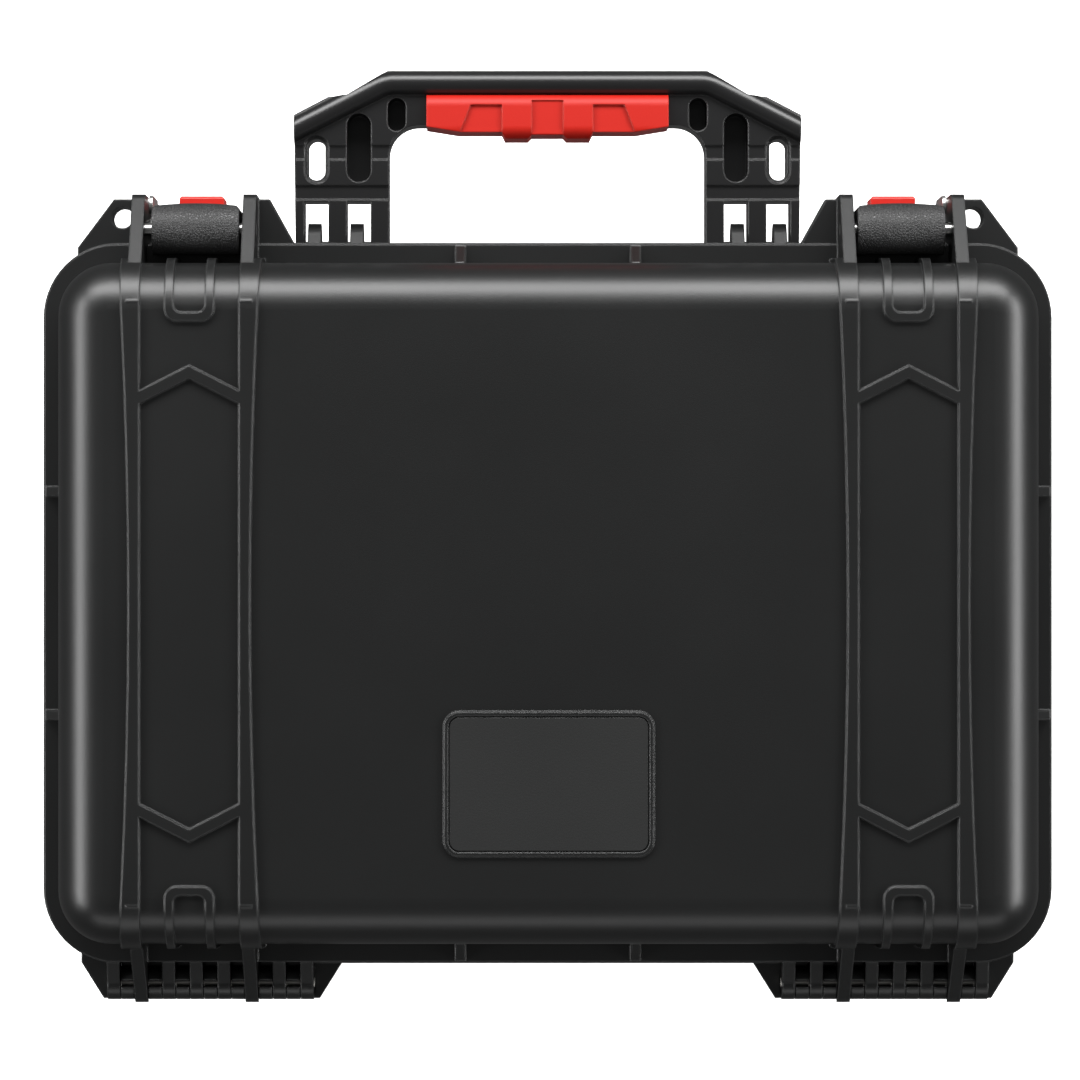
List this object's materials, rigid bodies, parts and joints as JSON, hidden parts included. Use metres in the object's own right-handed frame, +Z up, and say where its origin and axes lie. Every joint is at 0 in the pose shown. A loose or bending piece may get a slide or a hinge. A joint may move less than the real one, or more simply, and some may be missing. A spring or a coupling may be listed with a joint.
{
  "type": "drone carrying case",
  "caption": "Hard-shell carrying case with a hinged lid, two draw latches with push releases, a folding handle with a soft grip, padlock ears and cut foam for a camera drone.",
  "frame": {"origin": "on the plane that the case lies on, at the middle of the flange outline", "axes": "+X to the right seen from the handle side, -Y towards the handle and the latches, +Y towards the hinges, +Z up through the lid"},
  "size_m": [0.336, 0.3113, 0.138],
  "materials": {
    "shell": "fine moulded grain",
    "latch": "coarse leather grain",
    "handle": "fine moulded grain",
    "grip": "soft overmoulded",
    "release": "satin",
    "plate": "fine grain",
    "steel": "brushed stainless",
    "seal": "matt",
    "valve": "satin",
    "foam": "closed-cell foam"
  },
  "bodies": {
    "base": {"base_shell": "shell", "foam_tray": "foam", "foam_floor": "foam", "handle_pin_left": "steel", "handle_pin_right": "steel", "hinge_pin_left": "steel", "hinge_pin_right": "steel", "latch_guard_left": "steel", "latch_guard_right": "steel", "guard_rivets_left": "steel", "guard_rivets_right": "steel", "valve_body": "valve", "valve_nut": "valve", "valve_o_ring": "seal", "valve_membrane": "seal"},
    "lid": {"lid_shell": "shell", "lid_gasket": "seal", "nameplate": "plate", "lid_foam": "foam", "latch_left_lever_pin": "steel", "latch_right_lever_pin": "steel"},
    "handle": {"handle_frame": "handle", "handle_grip": "grip"},
    "latch_left": {"latch_left_lever": "latch", "latch_left_release_pin": "steel"},
    "latch_right": {"latch_right_lever": "latch", "latch_right_release_pin": "steel"},
    "release_left": {"latch_left_release": "release", "latch_left_spring": "steel"},
    "release_right": {"latch_right_release": "release", "latch_right_spring": "steel"}
  },
  "joints": [
    {"name": "lid_hinge", "type": "hinge", "parent": "base", "child": "lid", "pos_m": [0, 0.1264, 0.094], "axis": [-1, 0, 0], "range_deg": [0, 105]},
    {"name": "handle_fold", "type": "hinge", "parent": "base", "child": "handle", "pos_m": [0, -0.1195, 0.078], "axis": [1, 0, 0], "range_deg": [0, 90]},
    {"name": "latch_left_swing", "type": "hinge", "parent": "lid", "child": "latch_left", "pos_m": [-0.1159, -0.1233, 0.111], "axis": [-1, 0, 0], "range_deg": [0, 100]},
    {"name": "latch_right_swing", "type": "hinge", "parent": "lid", "child": "latch_right", "pos_m": [0.1159, -0.1233, 0.111], "axis": [-1, 0, 0], "range_deg": [0, 100]},
    {"name": "release_left_press", "type": "hinge", "parent": "latch_left", "child": "release_left", "pos_m": [-0.1159, -0.127, 0.0712], "axis": [-1, 0, 0], "range_deg": [0, 9], "stiffness_Nm_per_rad": 0.05},
    {"name": "release_right_press", "type": "hinge", "parent": "latch_right", "child": "release_right", "pos_m": [0.1159, -0.127, 0.0712], "axis": [-1, 0, 0], "range_deg": [0, 9], "stiffness_Nm_per_rad": 0.05}
  ]
}
